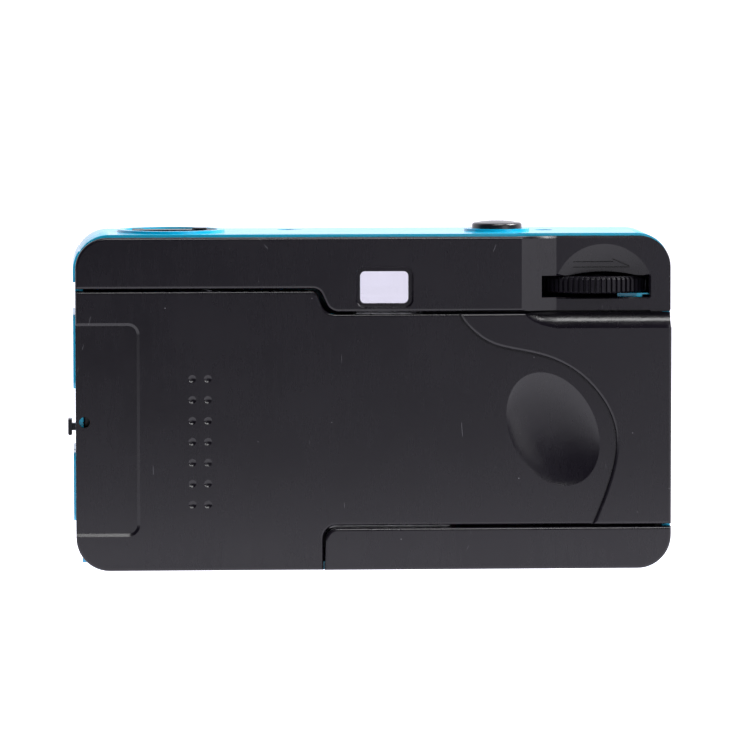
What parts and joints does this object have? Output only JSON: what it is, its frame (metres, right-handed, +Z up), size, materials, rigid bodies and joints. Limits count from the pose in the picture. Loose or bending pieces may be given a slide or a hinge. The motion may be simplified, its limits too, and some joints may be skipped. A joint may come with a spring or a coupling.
{
  "type": "half frame camera",
  "caption": "Compact reloadable plastic 35 mm half frame camera with hinged film door, thumbwheel winding, folding rewind crank and turning flash ring",
  "frame": {"origin": "on the base plane, under the middle of the body", "axes": "+X to the user's right with the back towards them, +Y out of the lens, +Z up"},
  "size_m": [0.1114, 0.039, 0.0639],
  "materials": {
    "blue_shell": "glossy cyan blue ABS",
    "black_gloss": "glossy black ABS",
    "black_satin": "satin black ABS",
    "black_matte": "matt black ABS",
    "white_plastic": "white ABS",
    "clear_plastic": "clear acrylic",
    "lens_plastic": "clear moulded lens",
    "steel": "thin steel",
    "bright_metal": "bright metallised finish",
    "board": "green circuit board"
  },
  "bodies": {
    "camera": {"aperture_plate": "steel", "battery_contact": "steel", "battery_door_pin": "steel", "battery_tube": "black_matte", "bottom_strip": "black_satin", "button_spring": "steel", "case_screws": "steel", "cassette_chamber": "black_matte", "counter_window": "clear_plastic", "film_gate": "black_matte", "finder_eyepiece": "clear_plastic", "finder_front_lens": "clear_plastic", "finder_tube": "black_matte", "flash_board": "board", "flash_capacitor": "black_satin", "flash_reflector": "bright_metal", "flash_tube": "lens_plastic", "flash_window": "clear_plastic", "frame_deck": "black_matte", "frame_floor": "black_matte", "front_element": "lens_plastic", "front_shell": "blue_shell", "front_trim": "black_gloss", "latch_spring": "steel", "lens_barrel": "black_satin", "lens_cell": "black_matte", "lens_cone": "black_matte", "light_box": "black_matte", "mechanism_bridge": "steel", "ready_lamp": "clear_plastic", "rear_cover": "black_satin", "rear_element": "lens_plastic", "retaining_ring": "black_matte", "shutter_plate": "steel", "takeup_chamber": "black_matte", "trim_ring": "bright_metal"},
    "back_door": {"back_door": "black_satin", "hinge_pin": "steel", "door_springs": "steel"},
    "pressure_plate": {"pressure_plate": "steel"},
    "door_latch": {"door_latch": "black_satin"},
    "battery_door": {"battery_door": "blue_shell", "battery_spring": "steel"},
    "advance": {"advance_wheel": "black_satin", "takeup_spool": "black_matte"},
    "sprocket": {"sprocket_wheel": "black_matte"},
    "counter": {"counter_dial": "white_plastic"},
    "pawl": {"ratchet_pawl": "steel"},
    "release_button": {"shutter_button": "black_gloss"},
    "release_lever": {"release_lever": "steel"},
    "shutter_blade": {"shutter_blade": "steel"},
    "flash_ring": {"flash_ring": "black_satin"},
    "rewind_collar": {"rewind_collar": "steel"},
    "rewind": {"rewind_shaft": "black_matte", "crank_disc": "black_satin", "crank_pin": "steel"},
    "crank_arm": {"crank_arm": "black_satin"},
    "crank_grip": {"crank_grip": "black_satin"},
    "rewind_button": {"rewind_button": "black_gloss"}
  },
  "joints": [
    {"name": "door_swing", "type": "hinge", "parent": "camera", "child": "back_door", "pos_m": [0.05385, -0.01325, 0.027], "axis": [0, 0, 1], "range_deg": [0, 100]},
    {"name": "pressure_plate_float", "type": "slide", "parent": "back_door", "child": "pressure_plate", "axis": [0, -1, 0], "range_m": [0, 0.0004], "stiffness_N_per_m": 300, "springref_m": -0.0005},
    {"name": "latch_slide", "type": "slide", "parent": "camera", "child": "door_latch", "axis": [0, 0, -1], "range_m": [0, 0.0035], "stiffness_N_per_m": 200, "springref_m": -0.002, "deforming": ["latch_spring"]},
    {"name": "battery_door_swing", "type": "hinge", "parent": "camera", "child": "battery_door", "pos_m": [-0.0238, 0.0069, 0.00085], "axis": [0, 1, 0], "range_deg": [0, 100]},
    {"name": "advance_turn", "type": "hinge", "parent": "camera", "child": "advance", "pos_m": [0.0411, -0.002, 0.052], "axis": [0, 0, 1], "continuous": true},
    {"name": "sprocket_turn", "type": "hinge", "parent": "camera", "child": "sprocket", "pos_m": [0.021, -0.0049, 0.026], "axis": [0, 0, 1], "continuous": true},
    {"name": "counter_turn", "type": "hinge", "parent": "camera", "child": "counter", "pos_m": [0.0386, 0.002, 0.059], "axis": [0, 0, 1], "continuous": true},
    {"name": "pawl_swing", "type": "hinge", "parent": "camera", "child": "pawl", "pos_m": [0.027, 0.0086, 0.0525], "axis": [0, 0, -1], "range_deg": [0, 20], "stiffness_Nm_per_rad": 0.002, "springref_deg": -11.46},
    {"name": "button_press", "type": "slide", "parent": "camera", "child": "release_button", "axis": [0, 0, -1], "range_m": [0, 0.0018], "stiffness_N_per_m": 500, "springref_m": -0.0015, "deforming": ["button_spring"]},
    {"name": "lever_tilt", "type": "hinge", "parent": "camera", "child": "release_lever", "pos_m": [0.0177, 0, 0.0492], "axis": [0, 1, 0], "range_deg": [0, 21]},
    {"name": "shutter_swing", "type": "hinge", "parent": "camera", "child": "shutter_blade", "pos_m": [0.00815, 0.00735, 0.0177], "axis": [0, 1, 0], "range_deg": [0, 42], "stiffness_Nm_per_rad": 0.0004, "springref_deg": -17.19},
    {"name": "flash_ring_turn", "type": "hinge", "parent": "camera", "child": "flash_ring", "pos_m": [0.00175, 0.018, 0.0263], "axis": [0, 1, 0], "range_deg": [0, 30]},
    {"name": "rewind_lift", "type": "slide", "parent": "camera", "child": "rewind_collar", "axis": [0, 0, 1], "range_m": [0, 0.005]},
    {"name": "rewind_turn", "type": "hinge", "parent": "rewind_collar", "child": "rewind", "pos_m": [-0.0371, 0, 0.06], "axis": [0, 0, 1], "continuous": true},
    {"name": "crank_fold", "type": "hinge", "parent": "rewind", "child": "crank_arm", "pos_m": [-0.0432, 0, 0.06185], "axis": [0, -1, 0], "range_deg": [0, 130]},
    {"name": "grip_spin", "type": "hinge", "parent": "crank_arm", "child": "crank_grip", "pos_m": [-0.0318, 0, 0.062], "axis": [0, 0, 1], "continuous": true},
    {"name": "rewind_release_press", "type": "slide", "parent": "camera", "child": "rewind_button", "axis": [0, 0, 1], "range_m": [0, 0.0012], "stiffness_N_per_m": 300, "springref_m": -0.001}
  ],
  "couplings": [
    {"joint": "sprocket_turn", "follows": "advance_turn", "ratio": 1.5},
    {"joint": "counter_turn", "follows": "advance_turn", "ratio": 0.04},
    {"joint": "lever_tilt", "follows": "button_press", "rad_per_m": 200}
  ]
}
